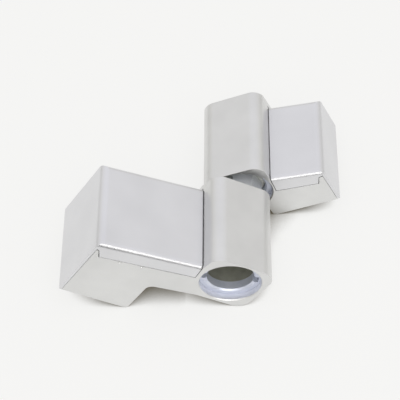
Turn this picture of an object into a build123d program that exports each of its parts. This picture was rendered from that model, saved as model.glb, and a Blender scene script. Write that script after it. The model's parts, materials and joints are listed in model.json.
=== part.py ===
"""Two-part door hinge lying with its leaves raised in a shallow V.

The hinge line runs along Y, up is +Z, the open barrel mouth of the frame half faces -Y.
Each half is drawn in its own leaf frame: u runs from the outer side wall towards the barrel,
v runs square to the foot, and both start on the axis of the barrel's bore.
All sizes are millimetres.
"""
import os
from math import cos, radians, sin, tan
from typing import NamedTuple

from build123d import *

# whole hinge
barrel_length = 29.4  # along the hinge line
leaf_length = 28.05  # the leaf stops short of its barrel's far end
knuckle_gap = 3.3  # height setting left between the two barrels
body_front = -31.05  # front end face of the frame half
pin_x = 12.06  # hinge line, measured from the middle of the footprint
side_setting = 3.88  # the frame's eccentric bush holds the pin this far from its bore, along X

# barrel section, the same on both halves
barrel_half = 10.1
barrel_top = 9.7
barrel_round = 4.6
ridge_round = 3.8
flank_top = 10.0  # where the flank beside the cover starts
bore_r = 9.0
mouth_chamfer = 0.3

# leaf section
sheet = 0.8
cover_fit = 0.1
side_fold_r = 2.5
end_fold_r = 1.6
cover_gap = 0.15  # joint between cover and barrel flank
lip_gap = 0.2  # joint around an end lip
lip_lean = 7.65
lip_end = 0.55  # the lip's lower corner, past the cover's barrel edge
slit_height = 2.8  # relief at the folded corner, above the lip's lower edge
slit_rise = 0.35
web_end_u = -5.5  # where a web lower than the barrel runs out under it
wall_lift = 0.15  # the side wall ends this far above the foot's face
foot_break = 0.8

# fixing holes, hidden under the covers
screw_r = 2.75
fixing_inset = 6.4  # from both ends of the leaf
head_r = 5.25
head_depth = 6.0

# clip and screw that hold a cover, in a groove of the leaf's top
groove_depth = 1.8
groove_width = 3.0
groove_inset = 1.5
clip_fit = 0.2  # clip inside its groove, each side
clip_sheet = 0.5
hook_length = 0.6
hook_height = 0.9
clip_screw_r = 0.8
clip_screw_length = 4.0
clip_hole_depth = 6.0
clip_head_r = 1.25
clip_head_height = 0.8
driver_slot = (0.35, 2.0, 0.4)  # width, length, depth

# slanted screw that locks a bush, and the stake marks under the lip
lock_r = 1.5
lock_length = 3.4
lock_hole_length = 12.0
lock_key_r = 0.87
screw_play = 0.05  # small screws in their holes
lock_key_depth = 1.4
lock_point = 0.3
stake_r = 0.6
stake_steps = (6.3, 12.7)

# parts in the bores
nut_recess = 2.1
nut_length = 3.0
nut_hole_r = 6.85
nut_slot_r = 8.3
nut_slot_width = 2.6
nut_bevel = 0.5
bush_fit = 0.03
pin_r = 4.0
pin_fit = 0.04
washer_fit = 0.1
sleeve_fit = 0.02
pin_chamfer = 0.6
sleeve_r = 5.2
hex_across_corners = 11.55  # 10 mm spanner
washer_r = 6.7
groove_r = 3.55
ring_length = 1.0
ring_width = 2.05
ring_fit = 0.03
ring_opening = 3.2
set_screw_length = 4.5
set_screw_chamfer = 0.4
set_key_r = 2.3
set_key_depth = 2.5
end_play = 0.05
frame_socket = 6.0  # behind the frame's ring nut
sash_bush_length = 16.2


class Half(NamedTuple):
    """One half of the hinge: how it lies, and the section of its leaf."""

    hand: int  # +1 has its leaf towards -X, -1 towards +X
    tilt: float
    near: float
    side_u: float
    side_v: float
    slope: float  # the cover falls towards the outer side, degrees against the foot
    foot_v: float
    step_u: float
    web_v: float
    step_round: float
    flank_u: float
    lip_u: float
    lip_v: float
    slit_lean: float
    fixing_u: float
    clip_u: float
    lock_turn: float


frame_near = body_front
sash_near = body_front + barrel_length + knuckle_gap
frame = Half(
    hand=1,
    tilt=30.945,
    near=frame_near,
    side_u=-42.0,
    side_v=-0.15,
    slope=6.4,
    foot_v=-26.7,
    step_u=-20.1,
    web_v=-12.5,
    step_round=2.4,
    flank_u=-10.9,
    lip_u=-39.0,
    lip_v=-5.8,
    slit_lean=0.45,
    fixing_u=-29.5,
    clip_u=-37.8,
    lock_turn=178.0,
)
sash = Half(
    hand=-1,
    tilt=22.67,
    near=sash_near,
    side_u=-25.75,
    side_v=-0.45,
    slope=10.9,
    foot_v=-14.87,
    step_u=-4.2,
    web_v=-10.1,
    step_round=1.0,
    flank_u=-10.0,
    lip_u=-22.4,
    lip_v=-5.1,
    slit_lean=0.38,
    fixing_u=-15.6,
    clip_u=-22.6,
    lock_turn=187.0,
)


def bore_point(half):
    """X and Z of a barrel's axis when barrel and foot both touch the table."""
    s = sin(radians(half.tilt))
    c = cos(radians(half.tilt))
    z = (barrel_half - barrel_round) * (s + c) + barrel_round
    x = pin_x - side_setting if half.hand > 0 else pin_x
    return x, z


pin_z = bore_point(sash)[1]


def u_dir(half):
    t = radians(half.tilt)
    return Vector(half.hand * cos(t), 0, -sin(t))


def v_dir(half):
    t = radians(half.tilt)
    return Vector(half.hand * sin(t), 0, cos(t))


def point(half, u, v, y):
    x, z = bore_point(half)
    return Vector(x, y, z) + u_dir(half) * u + v_dir(half) * v


def section(half, near, far):
    """Sketch plane across a half; extruding far - near from it fills near to far."""
    y = far if half.hand > 0 else near
    return Plane(origin=point(half, 0, 0, y), x_dir=u_dir(half), z_dir=(0, -half.hand, 0))


def cross(x, z, near, far):
    """Sketch plane square to the hinge line, extruding from near to far."""
    return Plane(origin=(x, near, z), x_dir=(1, 0, 0), z_dir=(0, 1, 0))


def cover_line(half, u):
    return half.side_v + (u - half.side_u) * tan(radians(half.slope))


def lip_line(half, u):
    return half.lip_v + (u - half.lip_u) * tan(radians(lip_lean))


def near_corner(sketch, u, v):
    return sketch.vertices().sort_by_distance((u, v))[0]


# Leaf bodies: barrel, web and stepped foot in one extruded section.


def lip_outline(half, grow):
    """Corners of the cover's end lip, grown outwards on its free sides."""
    edge_u = half.flank_u - cover_gap
    end_u = edge_u + lip_end
    slit_top = half.lip_v + slit_height
    return [
        (half.side_u - grow, cover_line(half, half.side_u) + 3 * grow),
        (half.side_u - grow, slit_top + slit_rise - grow),
        (half.lip_u - slit_height * half.slit_lean - grow, slit_top - grow),
        (half.lip_u - grow, half.lip_v - grow),
        (end_u + grow, lip_line(half, end_u) - grow),
        (edge_u + grow, cover_line(half, edge_u) + 3 * grow),
    ]


def body_outline(half):
    skin = sheet + cover_fit
    side = half.side_u + skin
    top = skin / cos(radians(half.slope))
    flank_v = cover_line(half, half.flank_u) - top
    corners = [
        (barrel_half, -barrel_half),
        (barrel_half, barrel_top),
        (-flank_top, barrel_top),
        (half.flank_u, flank_v),
        (side, cover_line(half, side) - top),
        (side, half.foot_v),
        (half.step_u, half.foot_v),
        (half.step_u, half.web_v),
    ]
    if half.web_v < -barrel_half:
        corners.append((web_end_u, -barrel_half))
    return corners


def fixing_rows(half):
    return (half.near + fixing_inset, half.near + leaf_length - fixing_inset)


def top_plane(half, u, y, drop=0.0):
    """Plane on the leaf's top below the cover, square to the foot."""
    skin = (sheet + cover_fit) / cos(radians(half.slope))
    v = cover_line(half, u) - skin - drop
    return Plane(origin=point(half, u, v, y), x_dir=u_dir(half), z_dir=v_dir(half))


def lock_plane(half, radius):
    """Plane square to the bush's lock screw, at a distance from the bore's axis."""
    a = radians(half.lock_turn)
    away = u_dir(half) * cos(a) + v_dir(half) * sin(a)
    x, z = bore_point(half)
    middle = Vector(x, half.near + leaf_length / 2, z)
    return Plane(origin=middle + away * radius, x_dir=(0, 1, 0), z_dir=away)


def cover_block(half, inset):
    """Room under the cover's outer faces, drawn in by an inset, with its folds rounded."""
    near = half.near + inset
    far = half.near + leaf_length - inset
    side = half.side_u + inset
    drop = inset / cos(radians(half.slope))
    deep = half.foot_v - 2
    along = (u_dir(half) + v_dir(half) * tan(radians(half.slope))).normalized()
    corner = point(half, side, cover_line(half, side) - drop, (near + far) / 2)
    across = Plane(origin=corner, x_dir=(0, 1, 0), z_dir=along)
    with BuildPart() as block:
        with BuildSketch(section(half, near, far)) as outline:
            with BuildLine():
                Polyline(
                    (side, deep),
                    (side, cover_line(half, side) - drop),
                    (1, cover_line(half, 1) - drop),
                    (1, deep),
                    close=True,
                )
            make_face()
            fillet(near_corner(outline, side, cover_line(half, side) - drop), side_fold_r - inset)
        extrude(amount=far - near)
        # the same room seen along the leaf, with the end folds
        reach = (far - near) / 2
        with BuildSketch(across) as ends:
            with BuildLine():
                Polyline(
                    (-reach, 0),
                    (reach, 0),
                    (reach, -half.hand * 2 * reach),
                    (-reach, -half.hand * 2 * reach),
                    close=True,
                )
            make_face()
            for x in (-reach, reach):
                fillet(near_corner(ends, x, 0), end_fold_r - inset)
        extrude(amount=-half.side_u, both=True, mode=Mode.INTERSECT)
    return block.part


def lip_rebates(half):
    """Rebates that let the cover's lips lie flush with both end faces."""
    skin = sheet + cover_fit
    far = half.near + leaf_length
    with BuildPart() as rebates:
        for near in (half.near, far - 2 * skin):
            with BuildSketch(section(half, near, near + 2 * skin)):
                with BuildLine():
                    Polyline(*lip_outline(half, lip_gap), close=True)
                make_face()
            extrude(amount=2 * skin)
        add(cover_block(half, skin), mode=Mode.SUBTRACT)
    return rebates.part


def leaf_body(half):
    far = half.near + leaf_length
    skin = sheet + cover_fit
    with BuildPart() as body:
        with BuildSketch(section(half, half.near, far)) as outline:
            with BuildLine():
                Polyline(*body_outline(half), close=True)
            make_face()
            fillet(near_corner(outline, barrel_half, -barrel_half), barrel_round)
            fillet(near_corner(outline, barrel_half, barrel_top), barrel_round)
            fillet(near_corner(outline, -flank_top, barrel_top), ridge_round)
            fillet(near_corner(outline, half.step_u, half.web_v), half.step_round)
            fillet(near_corner(outline, *body_outline(half)[4]), side_fold_r - skin)
            chamfer(near_corner(outline, half.step_u, half.foot_v), foot_break)
            Circle(bore_r, mode=Mode.SUBTRACT)
        extrude(amount=leaf_length)
        # the barrel runs on past the leaf
        with BuildSketch(section(half, far, half.near + barrel_length)) as ring:
            with BuildLine():
                Polyline(*body_outline(half)[:4], (-barrel_half, -barrel_half), close=True)
            make_face()
            fillet(near_corner(ring, barrel_half, -barrel_half), barrel_round)
            fillet(near_corner(ring, barrel_half, barrel_top), barrel_round)
            fillet(near_corner(ring, -barrel_half, -barrel_half), barrel_round)
            fillet(near_corner(ring, -flank_top, barrel_top), ridge_round)
            Circle(bore_r, mode=Mode.SUBTRACT)
        extrude(amount=barrel_length - leaf_length)
        rims = body.edges().filter_by(GeomType.CIRCLE).filter_by(lambda e: abs(e.radius - bore_r) < 0.01)
        rims = rims.sort_by(Axis.Y)
        chamfer([rims[0], rims[-1]], mouth_chamfer)
        add(lip_rebates(half), mode=Mode.SUBTRACT)
        # counterbored fixing holes
        for y in fixing_rows(half):
            with BuildSketch(top_plane(half, half.fixing_u, y, head_depth)):
                Circle(head_r)
            extrude(amount=3 * head_depth, mode=Mode.SUBTRACT)
            with BuildSketch(top_plane(half, half.fixing_u, y)):
                Circle(screw_r)
            extrude(amount=-2 * barrel_half - 20, mode=Mode.SUBTRACT)
        # groove for the cover clip, and the hole of its screw
        middle = half.near + leaf_length / 2
        with BuildSketch(top_plane(half, half.clip_u, middle, groove_depth)):
            Rectangle(groove_width, leaf_length - 2 * groove_inset)
        extrude(amount=2 * groove_depth, mode=Mode.SUBTRACT)
        with BuildSketch(top_plane(half, half.clip_u, middle)):
            Circle(clip_screw_r + screw_play)
        extrude(amount=-clip_hole_depth, mode=Mode.SUBTRACT)
        # slanted hole of the bush's lock screw, open to the leaf's top
        with BuildSketch(lock_plane(half, bore_r - 1)):
            Circle(lock_r + screw_play)
        extrude(amount=lock_hole_length, mode=Mode.SUBTRACT)
        # two stake marks just under the lip's lower edge, where the leaf is long enough
        for step in stake_steps:
            u = half.lip_u + step
            if u < -2 * barrel_half:
                with Locations(point(half, u, lip_line(half, u) - stake_r, half.near - stake_r / 2)):
                    Sphere(stake_r, mode=Mode.SUBTRACT)
    return body.part


# Covers: folded sheet with a side wall and two end lips.


def leaf_cover(half):
    far = half.near + leaf_length
    edge_u = half.flank_u - cover_gap
    inner_u = half.side_u + sheet
    wall_foot = half.foot_v + wall_lift
    above = barrel_top
    lip = lip_outline(half, 0)
    with BuildPart() as cover:
        add(cover_block(half, 0))
        # the sheet's own limits: foot of the side wall, barrel edge and slanted lip ends
        with BuildSketch(section(half, half.near, far)):
            with BuildLine():
                Polyline(
                    (half.side_u, wall_foot),
                    (half.side_u, above),
                    (edge_u, above),
                    (edge_u, cover_line(half, edge_u)),
                    lip[4],
                    lip[3],
                    (inner_u + 1, wall_foot),
                    close=True,
                )
            make_face()
        extrude(amount=leaf_length, mode=Mode.INTERSECT)
        add(cover_block(half, sheet), mode=Mode.SUBTRACT)
        # free edge of the lips, with the relief at the folded corner
        with BuildSketch(section(half, half.near - 1, far + 1)):
            with BuildLine():
                Polyline(
                    (inner_u, half.foot_v - 1),
                    (inner_u, lip[1][1]),
                    lip[2],
                    lip[3],
                    lip[4],
                    (3, lip[4][1]),
                    (3, half.foot_v - 1),
                    close=True,
                )
            make_face()
        extrude(amount=leaf_length + 2, mode=Mode.SUBTRACT)
    return cover.part


def cover_clip(half):
    middle = half.near + leaf_length / 2
    width = groove_width - 2 * clip_fit
    length = leaf_length - 2 * groove_inset - 2 * hook_length
    hook = (length - hook_length) / 2
    with BuildPart() as clip:
        with BuildSketch(top_plane(half, half.clip_u, middle, groove_depth)):
            Rectangle(width, length)
        extrude(amount=clip_sheet)
        # upturned hooks at both ends
        with BuildSketch(top_plane(half, half.clip_u, middle, groove_depth - clip_sheet)):
            with Locations((0, hook), (0, -hook)):
                Rectangle(width, hook_length)
        extrude(amount=hook_height)
        with BuildSketch(top_plane(half, half.clip_u, middle)):
            Circle(clip_screw_r + clip_fit)
        extrude(amount=-2 * groove_depth, mode=Mode.SUBTRACT)
    return clip.part


def clip_screw(half):
    middle = half.near + leaf_length / 2
    seat = groove_depth - clip_sheet
    with BuildPart() as screw:
        with BuildSketch(top_plane(half, half.clip_u, middle, seat)):
            Circle(clip_head_r)
        extrude(amount=clip_head_height)
        with BuildSketch(top_plane(half, half.clip_u, middle, seat)):
            Circle(clip_screw_r)
        extrude(amount=-clip_screw_length)
        with BuildSketch(top_plane(half, half.clip_u, middle, seat - clip_head_height)):
            Rectangle(driver_slot[0], driver_slot[1])
        extrude(amount=-driver_slot[2], mode=Mode.SUBTRACT)
    return screw.part


# Parts in the barrels.


def ring_nut(half, near, turn):
    """Slotted ring with two opposed key notches, screwed into the barrel's mouth."""
    x, z = bore_point(half)
    with BuildPart() as nut:
        with BuildSketch(cross(x, z, near, near + nut_length)):
            Circle(bore_r - bush_fit)
            Circle(nut_hole_r, mode=Mode.SUBTRACT)
            Rectangle(2 * nut_slot_r, nut_slot_width, rotation=turn, mode=Mode.SUBTRACT)
        extrude(amount=nut_length)
        with BuildSketch(cross(x, z, near, near + nut_bevel)):
            Circle(nut_hole_r + nut_bevel)
        extrude(amount=nut_bevel, taper=45, mode=Mode.SUBTRACT)
    return nut.part


def bush(half, near, far, socket, bearing_r):
    """Bush filling a barrel; the frame's is eccentric and has a socket behind the ring nut."""
    x, z = bore_point(half)
    with BuildPart() as body:
        with BuildSketch(cross(x, z, near, far)):
            Circle(bore_r - bush_fit)
        extrude(amount=far - near)
        if socket > 0:
            with BuildSketch(cross(x, z, near, near + socket)):
                Circle(nut_hole_r)
            extrude(amount=socket, mode=Mode.SUBTRACT)
        with BuildSketch(cross(pin_x, pin_z, near + socket, far)):
            Circle(bearing_r)
        extrude(amount=far - near - socket, mode=Mode.SUBTRACT)
    return body.part


def lock_screw(half):
    with BuildPart() as screw:
        with BuildSketch(lock_plane(half, bore_r)):
            Circle(lock_r)
        extrude(amount=lock_length)
        with BuildSketch(lock_plane(half, bore_r + lock_length)):
            RegularPolygon(lock_key_r, 6)
        extrude(amount=-lock_key_depth, mode=Mode.SUBTRACT)
        rims = screw.edges().filter_by(GeomType.CIRCLE)
        chamfer(rims.sort_by_distance(lock_plane(half, bore_r).origin)[0], lock_point)
    return screw.part


def tube(near, far, outer, inner):
    with BuildPart() as ring:
        with BuildSketch(cross(pin_x, pin_z, near, far)):
            Circle(outer)
            Circle(inner, mode=Mode.SUBTRACT)
        extrude(amount=far - near)
    return ring.part


def hinge_pin(near, hex_near, hex_far, far, groove_near):
    """Threaded foot, spanner hexagon, smooth journal and a groove for the retaining ring."""
    with BuildPart() as pin:
        with BuildSketch(cross(pin_x, pin_z, near, far)):
            Circle(pin_r)
        extrude(amount=far - near)
        chamfer(pin.edges().filter_by(GeomType.CIRCLE), pin_chamfer)
        with BuildSketch(cross(pin_x, pin_z, hex_near, hex_far)):
            RegularPolygon(hex_across_corners / 2, 6)
        extrude(amount=hex_far - hex_near)
        with BuildSketch(cross(pin_x, pin_z, groove_near, groove_near + ring_length)):
            Circle(pin_r + 1)
            Circle(groove_r, mode=Mode.SUBTRACT)
        extrude(amount=ring_length, mode=Mode.SUBTRACT)
    return pin.part


def retaining_ring(near):
    """Open spring ring, its gap turned upwards."""
    with BuildPart() as ring:
        with BuildSketch(cross(pin_x, pin_z, near, near + ring_length)):
            Circle(groove_r + ring_width)
            Circle(groove_r + ring_fit, mode=Mode.SUBTRACT)
            with Locations((0, -pin_r)):
                Rectangle(ring_opening, 2 * pin_r, mode=Mode.SUBTRACT)
        extrude(amount=ring_length - 2 * end_play)
    return ring.part


def set_screw(near, far):
    """Short threaded screw that locks the pin's height, hexagon socket towards the mouth."""
    with BuildPart() as screw:
        with BuildSketch(cross(pin_x, pin_z, near, far)):
            Circle(pin_r)
        extrude(amount=far - near)
        chamfer(screw.edges().filter_by(GeomType.CIRCLE), set_screw_chamfer)
        with BuildSketch(cross(pin_x, pin_z, near, far)):
            RegularPolygon(set_key_r, 6)
        extrude(amount=set_key_depth, mode=Mode.SUBTRACT)
    return screw.part


# positions along the hinge line
frame_nut_near = frame.near + nut_recess
frame_bush_near = frame_nut_near + nut_length
lock_near = frame_bush_near + frame_socket + 0.5
lock_far = lock_near + set_screw_length
pin_near = lock_far + 0.2
frame_bush_far = frame.near + barrel_length - 0.8
hex_near = frame_bush_far + 1.4
sash_nut_near = sash.near + nut_recess
sash_bush_near = sash_nut_near + nut_length
washer_near = sash_bush_near - 1.2
hex_far = washer_near - end_play
sash_bush_far = sash_bush_near + sash_bush_length
top_washer_near = sash_bush_far + end_play
ring_near = top_washer_near + ring_length + end_play
pin_far = ring_near + 2.4


def make_parts():
    parts = {}
    for name, half in (("frame", frame), ("sash", sash)):
        parts[name + "_body"] = leaf_body(half)
        parts[name + "_cover"] = leaf_cover(half)
        parts[name + "_cover_clip"] = cover_clip(half)
        parts[name + "_clip_screw"] = clip_screw(half)
        parts[name + "_bush_screw"] = lock_screw(half)
    parts["frame_ring_nut"] = ring_nut(frame, frame_nut_near, 10)
    parts["sash_ring_nut"] = ring_nut(sash, sash_nut_near, -65)
    parts["frame_bush"] = bush(frame, frame_bush_near, frame_bush_far, frame_socket, pin_r)
    parts["sash_bush"] = bush(sash, sash_bush_near, sash_bush_far, 0, sleeve_r)
    parts["pin_lock_screw"] = set_screw(lock_near, lock_far)
    parts["hinge_pin"] = hinge_pin(pin_near, hex_near, hex_far, pin_far, ring_near)
    parts["thrust_washer"] = tube(washer_near, sash_bush_near, washer_r, pin_r + washer_fit)
    parts["sash_sleeve"] = tube(sash_bush_near, sash_bush_far, sleeve_r - sleeve_fit, pin_r + pin_fit)
    parts["top_washer"] = tube(top_washer_near, top_washer_near + ring_length, washer_r, pin_r + washer_fit)
    parts["retaining_ring"] = retaining_ring(ring_near)
    return parts


os.makedirs("parts", exist_ok=True)
for label, solid in make_parts().items():
    solid.label = label
    export_step(solid, "parts/" + label + ".step")
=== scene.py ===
import json
import math

import bpy
from mathutils import Euler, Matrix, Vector

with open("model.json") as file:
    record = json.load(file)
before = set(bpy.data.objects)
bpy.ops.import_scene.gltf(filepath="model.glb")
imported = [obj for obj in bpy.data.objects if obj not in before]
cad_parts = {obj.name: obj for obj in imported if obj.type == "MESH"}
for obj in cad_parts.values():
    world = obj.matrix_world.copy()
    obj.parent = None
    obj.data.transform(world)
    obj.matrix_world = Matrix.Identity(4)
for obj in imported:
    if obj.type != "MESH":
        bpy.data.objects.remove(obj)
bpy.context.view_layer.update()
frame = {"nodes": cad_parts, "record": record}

scene = bpy.context.scene
mm = 0.001


# colour and node helpers

def linearColor(hexText):
    # sRGB hex to the linear RGBA that Blender's sockets take
    values = []
    for start in (1, 3, 5):
        c = int(hexText[start:start + 2], 16) / 255
        values.append(c / 12.92 if c <= 0.04045 else ((c + 0.055) / 1.055) ** 2.4)
    return (*values, 1.0)


def perSize(sizeMm):
    # texture scale for a pattern whose features are this many millimetres apart
    return 1 / (sizeMm * mm)


def addNode(tree, kind, settings=None, inputs=None, links=None):
    node = tree.nodes.new(kind)
    for name, value in (settings or {}).items():
        setattr(node, name, value)
    for name, value in (inputs or {}).items():
        node.inputs[name].default_value = value
    for name, source in (links or {}).items():
        tree.links.new(source, node.inputs[name])
    return node


def newMaterial(name):
    material = bpy.data.materials.new(name)
    material.use_nodes = True
    tree = material.node_tree
    tree.nodes.clear()
    output = addNode(tree, "ShaderNodeOutputMaterial")
    coords = addNode(tree, "ShaderNodeTexCoord")
    return material, tree, output, coords.outputs["Object"]


def rampNode(tree, source, lowAt, lowHex, highAt, highHex):
    ramp = addNode(tree, "ShaderNodeValToRGB", links={"Fac": source})
    ramp.color_ramp.elements[0].position = lowAt
    ramp.color_ramp.elements[0].color = linearColor(lowHex)
    ramp.color_ramp.elements[1].position = highAt
    ramp.color_ramp.elements[1].color = linearColor(highHex)
    return ramp


def rangeNode(tree, source, low, high):
    return addNode(
        tree, "ShaderNodeMapRange", inputs={"To Min": low, "To Max": high}, links={"Value": source},
    )


def mathNode(tree, operation, *values):
    # each value is a number or the output of another node
    node = addNode(tree, "ShaderNodeMath", {"operation": operation})
    for index, value in enumerate(values):
        if isinstance(value, (int, float)):
            node.inputs[index].default_value = value
        else:
            tree.links.new(value, node.inputs[index])
    return node.outputs["Value"]


def seenRays(tree):
    # 1 for what the camera sees, directly or in a mirror or glass
    rays = addNode(tree, "ShaderNodeLightPath")
    direct = mathNode(tree, "MAXIMUM", rays.outputs["Is Camera Ray"], rays.outputs["Is Glossy Ray"])
    return mathNode(tree, "MAXIMUM", direct, rays.outputs["Is Transmission Ray"])


# one worker for every metal of the hinge: cloud of colour, grain, drawn lines, broken edges
metalPatterns = {
    # noise pattern: where a look gives its size, then detail and roughness
    "lines": ("lineMm", 3.0, 0.6),
    "grain": ("grainMm", 2.0, 0.55),
    "cloud": ("cloudMm", 2.0, 0.5),
    # how much of the cloud's range goes from dark to light, and how finely edges are rounded
    "cloudSpan": (0.3, 0.7), "edgeSamples": 6,
}


def metalMaterial(name, look):
    material, tree, output, coords = newMaterial(name)
    stretch = addNode(
        tree, "ShaderNodeMapping", inputs={"Scale": look["lineStretch"]}, links={"Vector": coords},
    )
    fields = {}
    for pattern, place in (("lines", stretch.outputs["Vector"]), ("grain", coords), ("cloud", coords)):
        sizeName, detail, roughness = metalPatterns[pattern]
        noise = addNode(
            tree, "ShaderNodeTexNoise",
            inputs={"Scale": perSize(look[sizeName]), "Detail": detail, "Roughness": roughness},
            links={"Vector": place},
        )
        fields[pattern] = noise.outputs["Fac"]
    low, high = metalPatterns["cloudSpan"]
    color = rampNode(tree, fields["cloud"], low, look["dark"], high, look["light"])
    spread = look["roughSpread"]
    rough = rangeNode(tree, fields["grain"], look["rough"] - spread, look["rough"] + spread)
    edges = addNode(
        tree, "ShaderNodeBevel", {"samples": metalPatterns["edgeSamples"]}, {"Radius": look["edgeMm"] * mm},
    )
    normal = edges.outputs["Normal"]
    for pattern, strength in (("lines", "lineStrength"), ("grain", "grainStrength")):
        bump = addNode(
            tree, "ShaderNodeBump",
            inputs={"Strength": look[strength], "Distance": look["depthMm"] * mm},
            links={"Height": fields[pattern], "Normal": normal},
        )
        normal = bump.outputs["Normal"]
    shader = addNode(
        tree, "ShaderNodeBsdfPrincipled",
        inputs={"Metallic": look["metallic"]},
        links={"Base Color": color.outputs["Color"], "Roughness": rough.outputs["Result"], "Normal": normal},
    )
    tree.links.new(shader.outputs["BSDF"], output.inputs["Surface"])
    return material


# anodised aluminium extrusion, satin etched: even silver, a trace of the die's lines along the barrel
bodyLook = {
    "dark": "#dddddc", "light": "#e3e3e2", "metallic": 1.0, "rough": 0.38, "roughSpread": 0.03,
    "cloudMm": 9.0, "grainMm": 0.3, "grainStrength": 0.06,
    "lineMm": 0.4, "lineStretch": (1.0, 0.02, 1.0), "lineStrength": 0.05,
    "depthMm": 0.05, "edgeMm": 0.14,
}
# anodised aluminium sheet, folded: a shade cooler, with rolling lines across the fold
coverLook = {
    "dark": "#dedee0", "light": "#e4e4e6", "metallic": 1.0, "rough": 0.36, "roughSpread": 0.03,
    "cloudMm": 14.0, "grainMm": 0.25, "grainStrength": 0.05,
    "lineMm": 0.35, "lineStretch": (0.03, 1.0, 0.03), "lineStrength": 0.04,
    "depthMm": 0.05, "edgeMm": 0.12,
}
# bright zinc plated steel, turned: bluish silver with fine tool marks
nutLook = {
    "dark": "#cdd2df", "light": "#dbdfec", "metallic": 0.5, "rough": 0.32, "roughSpread": 0.05,
    "cloudMm": 3.0, "grainMm": 0.25, "grainStrength": 0.05,
    "lineMm": 0.25, "lineStretch": (1.0, 1.0, 1.0), "lineStrength": 0.05,
    "depthMm": 0.05, "edgeMm": 0.1,
}
# zinc die casting, tumbled: dull mid grey
bushLook = {
    "dark": "#8f8f84", "light": "#9f9f94", "metallic": 0.4, "rough": 0.5, "roughSpread": 0.06,
    "cloudMm": 2.5, "grainMm": 0.3, "grainStrength": 0.25,
    "lineMm": 0.4, "lineStretch": (1.0, 1.0, 1.0), "lineStrength": 0.1,
    "depthMm": 0.05, "edgeMm": 0.1,
}
# case hardened steel, zinc plated: neutral pale grey, slightly streaked along the pin
steelLook = {
    "dark": "#dadcdd", "light": "#e6e8e8", "metallic": 0.45, "rough": 0.34, "roughSpread": 0.06,
    "cloudMm": 2.0, "grainMm": 0.3, "grainStrength": 0.08,
    "lineMm": 0.3, "lineStretch": (1.0, 0.1, 1.0), "lineStrength": 0.12,
    "depthMm": 0.05, "edgeMm": 0.08,
}
# blued spring steel, stamped: near black blue with worn lighter patches
springLook = {
    "dark": "#43464f", "light": "#5d616c", "metallic": 1.0, "rough": 0.35, "roughSpread": 0.08,
    "cloudMm": 1.2, "grainMm": 0.2, "grainStrength": 0.1,
    "lineMm": 0.25, "lineStretch": (1.0, 1.0, 1.0), "lineStrength": 0.06,
    "depthMm": 0.05, "edgeMm": 0.05,
}
# bearing polymer, moulded acetal: light warm grey, waxy
polymerLook = {
    "dark": "#c4c5bf", "light": "#d0d1cb", "metallic": 0.0, "rough": 0.5, "roughSpread": 0.06,
    "cloudMm": 1.5, "grainMm": 0.25, "grainStrength": 0.15,
    "lineMm": 0.4, "lineStretch": (1.0, 1.0, 1.0), "lineStrength": 0.04,
    "depthMm": 0.05, "edgeMm": 0.08,
}

materials = {
    "anodised_body": metalMaterial("anodised aluminium extrusion", bodyLook),
    "anodised_cover": metalMaterial("anodised aluminium sheet", coverLook),
    "ring_nut": metalMaterial("bright zinc plated steel", nutLook),
    "zinc_bush": metalMaterial("tumbled zinc casting", bushLook),
    "steel": metalMaterial("zinc plated hardened steel", steelLook),
    "spring_steel": metalMaterial("blued spring steel", springLook),
    "polymer": metalMaterial("acetal bearing polymer", polymerLook),
}
for part in frame["record"]["subparts"]:
    node = frame["nodes"][part["node"]]
    node.data.materials.clear()
    node.data.materials.append(materials[part["material_slot"]])
    for face in node.data.polygons:
        face.material_index = 0

# bored surface of the barrels, bare turned aluminium: bluish, less mirror-like than the anodised skin
boreLook = {
    "dark": "#dfe1ea", "light": "#e8eaf2", "metallic": 0.5, "rough": 0.4, "roughSpread": 0.04,
    "cloudMm": 4.0, "grainMm": 0.3, "grainStrength": 0.05,
    "lineMm": 0.3, "lineStretch": (1.0, 1.0, 1.0), "lineStrength": 0.04,
    "depthMm": 0.05, "edgeMm": 0.1,
    # radius of the bores, and where each barrel's axis stands in X and Z
    "holeMm": 9.0, "slackMm": 0.05,
    "axesMm": {"frame_body": (8.18, 12.15), "sash_body": (12.06, 11.79)},
}
turned = metalMaterial("turned bare aluminium", boreLook)


def addBoreFinish(body, axisX, axisZ):
    # the corners of a bore's faces all lie at its radius from the barrel's axis
    body.data.materials.append(turned)
    away = [math.hypot(v.co.x / mm - axisX, v.co.z / mm - axisZ) for v in body.data.vertices]
    for face in body.data.polygons:
        if all(abs(away[i] - boreLook["holeMm"]) < boreLook["slackMm"] for i in face.vertices):
            face.material_index = 1


for name, axis in boreLook["axesMm"].items():
    addBoreFinish(frame["nodes"][name], *axis)
print("stage: finishes on the hinge's own parts")


# floor, light and camera

# smooth white laminate: matte; what is seen of it, by the camera and in the metal, glows a little, and the
# glow darkens into a painted contact shadow where the hinge comes close
floorLook = {
    "size": 3.0, "cells": 4, "dropMm": 0.02,
    "color": "#f4f3ef", "rough": 0.9, "specular": 0.1,
    "toothMm": 2.0, "toothStrength": 0.02, "toothDepthMm": 0.1,
    "seenShare": 0.14, "glow": 0.80,
    # from close to open: share of the sky left within this distance, and the glow's colour there, from the
    # painted shadow's dark warm brown to white
    "nearMm": 15.0, "nearSamples": 32,
    "paintedShadowAt": 0.26, "paintedShadowHex": "#57503f", "openAt": 0.57, "openHex": "#fcfcfb",
}


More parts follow.
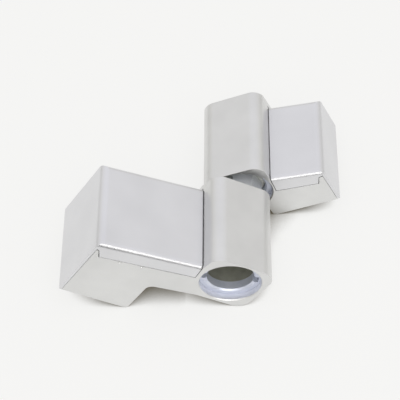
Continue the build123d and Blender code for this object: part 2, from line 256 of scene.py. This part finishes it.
def addFloor():
    bpy.ops.object.select_all(action="DESELECT")
    bpy.ops.mesh.primitive_grid_add(
        x_subdivisions=floorLook["cells"], y_subdivisions=floorLook["cells"],
        size=floorLook["size"], location=(0, 0, -floorLook["dropMm"] * mm),
    )
    floor = bpy.context.object
    floor.name = "floor"
    bpy.ops.object.transform_apply(location=True, rotation=True, scale=True)
    material, tree, output, coords = newMaterial("white laminate")
    tooth = addNode(
        tree, "ShaderNodeTexNoise",
        inputs={"Scale": perSize(floorLook["toothMm"])}, links={"Vector": coords},
    )
    bump = addNode(
        tree, "ShaderNodeBump",
        inputs={"Strength": floorLook["toothStrength"], "Distance": floorLook["toothDepthMm"] * mm},
        links={"Height": tooth.outputs["Fac"]},
    )
    color = linearColor(floorLook["color"])
    darker = tuple(c * floorLook["seenShare"] for c in color[:3]) + (1.0,)
    lit, shaded = (
        addNode(
            tree, "ShaderNodeBsdfPrincipled",
            inputs={
                "Base Color": shade, "Roughness": floorLook["rough"],
                "Specular IOR Level": floorLook["specular"],
            },
            links={"Normal": bump.outputs["Normal"]},
        )
        for shade in (color, darker)
    )
    # painted contact shadow: where little sky is left within nearMm, the glow darkens from white to a dark
    # warm brown
    near = addNode(
        tree, "ShaderNodeAmbientOcclusion", {"samples": floorLook["nearSamples"]},
        {"Distance": floorLook["nearMm"] * mm},
    )
    glowWithPaintedShadow = rampNode(
        tree, near.outputs["AO"],
        floorLook["paintedShadowAt"], floorLook["paintedShadowHex"], floorLook["openAt"], floorLook["openHex"],
    )
    glow = addNode(
        tree, "ShaderNodeEmission", inputs={"Strength": floorLook["glow"]},
        links={"Color": glowWithPaintedShadow.outputs["Color"]},
    )
    seen = addNode(
        tree, "ShaderNodeAddShader", links={0: shaded.outputs["BSDF"], 1: glow.outputs["Emission"]},
    )
    either = addNode(
        tree, "ShaderNodeMixShader",
        links={0: seenRays(tree), 1: lit.outputs["BSDF"], 2: seen.outputs["Shader"]},
    )
    tree.links.new(either.outputs["Shader"], output.inputs["Surface"])
    floor.data.materials.append(material)


# dark card on the table, nearer than the picture reaches: it draws the thin line under the end folds
cardLook = {
    "place": (0.02, -0.19), "sides": (0.7, 0.19), "thickMm": 1.0,
    "color": "#1d1d1e", "rough": 0.9, "fibreMm": 0.8, "fibreStrength": 0.1, "fibreDepthMm": 0.1,
}


def addCard():
    bpy.ops.object.select_all(action="DESELECT")
    thick = cardLook["thickMm"] * mm
    bpy.ops.mesh.primitive_cube_add(size=1.0, location=(*cardLook["place"], thick / 2))
    card = bpy.context.object
    card.name = "card"
    card.dimensions = (*cardLook["sides"], thick)
    bpy.ops.object.transform_apply(location=True, rotation=True, scale=True)
    material, tree, output, coords = newMaterial("black card")
    fibre = addNode(
        tree, "ShaderNodeTexNoise",
        inputs={"Scale": perSize(cardLook["fibreMm"])}, links={"Vector": coords},
    )
    bump = addNode(
        tree, "ShaderNodeBump",
        inputs={"Strength": cardLook["fibreStrength"], "Distance": cardLook["fibreDepthMm"] * mm},
        links={"Height": fibre.outputs["Fac"]},
    )
    shader = addNode(
        tree, "ShaderNodeBsdfPrincipled",
        inputs={"Base Color": linearColor(cardLook["color"]), "Roughness": cardLook["rough"]},
        links={"Normal": bump.outputs["Normal"]},
    )
    tree.links.new(shader.outputs["BSDF"], output.inputs["Surface"])
    card.data.materials.append(material)
    # only the metal sees it
    card.visible_camera = False
    card.visible_diffuse = False
    card.visible_shadow = False


# an even white room, a shade lilac overhead and creamy lower down, darker in a band round the horizon;
# the broad lamp only lights the table; the satin metal shows the room, the table and the low strip lamp
lightLook = {
    "roomLight": 0.75, "roomSeen": 0.96,
    "skyHex": "#fafafe", "horizonHex": "#efeeeb", "skyFrom": 0.3, "skyTo": 0.8,
    "bandHeight": 0.05, "bandHalf": 0.2, "bandLevel": 0.68,
    "aim": (0.0, 0.0, 0.01),
    # name: place in metres, width and height, power, colour, seen in reflections
    "lamps": {
        "tableBox": ((0.15, -0.45, 1.00), (1.2, 1.2), 7.0, "#fffefb", False),
        "foldBox": ((0.12, -0.82, 0.40), (0.9, 0.18), 1.6, "#fffefc", True),
    },
}


def addWorld():
    world = bpy.data.worlds.new("studio")
    scene.world = world
    world.use_nodes = True
    tree = world.node_tree
    tree.nodes.clear()
    output = addNode(tree, "ShaderNodeOutputWorld")
    coords = addNode(tree, "ShaderNodeTexCoord")
    axes = addNode(tree, "ShaderNodeSeparateXYZ", links={"Vector": coords.outputs["Generated"]})
    height = axes.outputs["Z"]
    # the band is strongest at its own height
    away = mathNode(tree, "ABSOLUTE", mathNode(tree, "SUBTRACT", height, lightLook["bandHeight"]))
    band = addNode(
        tree, "ShaderNodeMapRange", {"interpolation_type": "SMOOTHSTEP"},
        {
            "From Min": 0.0, "From Max": lightLook["bandHalf"],
            "To Min": lightLook["bandLevel"], "To Max": 1.0,
        },
        {"Value": away},
    )
    # the camera itself sees a plain backdrop without the band
    rays = addNode(tree, "ShaderNodeLightPath")
    shown = mathNode(tree, "MAXIMUM", band.outputs["Result"], rays.outputs["Is Camera Ray"])
    level = rangeNode(tree, seenRays(tree), lightLook["roomLight"], lightLook["roomSeen"])
    strength = mathNode(tree, "MULTIPLY", level.outputs["Result"], shown)
    color = rampNode(
        tree, height,
        lightLook["skyFrom"], lightLook["horizonHex"], lightLook["skyTo"], lightLook["skyHex"],
    )
    sky = addNode(
        tree, "ShaderNodeBackground", links={"Color": color.outputs["Color"], "Strength": strength},
    )
    tree.links.new(sky.outputs["Background"], output.inputs["Surface"])


def addLamps():
    for name, (place, sides, power, color, inReflections) in lightLook["lamps"].items():
        data = bpy.data.lights.new(name, "AREA")
        data.shape = "RECTANGLE"
        data.size, data.size_y = sides
        data.energy = power
        data.color = linearColor(color)[:3]
        lamp = bpy.data.objects.new(name, data)
        scene.collection.objects.link(lamp)
        lamp.location = place
        turn = (Vector(lightLook["aim"]) - lamp.location).to_track_quat("-Z", "Y")
        lamp.rotation_euler = turn.to_euler()
        lamp.visible_glossy = inReflections
        lamp.visible_diffuse = not inReflections


# the view of the photograph: place in millimetres, turn in degrees, lens and film in millimetres
cameraLook = {
    "place": (13.118, -246.398, 354.121), "turn": (35.6332, 2.0464, 0.3935),
    "lens": 126.13, "film": 36.0, "nearest": 0.01, "farthest": 20.0,
}


def addCamera():
    data = bpy.data.cameras.new("camera")
    data.lens = cameraLook["lens"]
    data.sensor_width = cameraLook["film"]
    data.clip_start = cameraLook["nearest"]
    data.clip_end = cameraLook["farthest"]
    camera = bpy.data.objects.new("camera", data)
    scene.collection.objects.link(camera)
    camera.location = Vector(cameraLook["place"]) * mm
    camera.rotation_euler = Euler([math.radians(a) for a in cameraLook["turn"]])
    scene.camera = camera


scene.view_settings.view_transform = "Standard"
addFloor()
addCard()
addWorld()
addLamps()
addCamera()
print("stage: floor, light and camera")
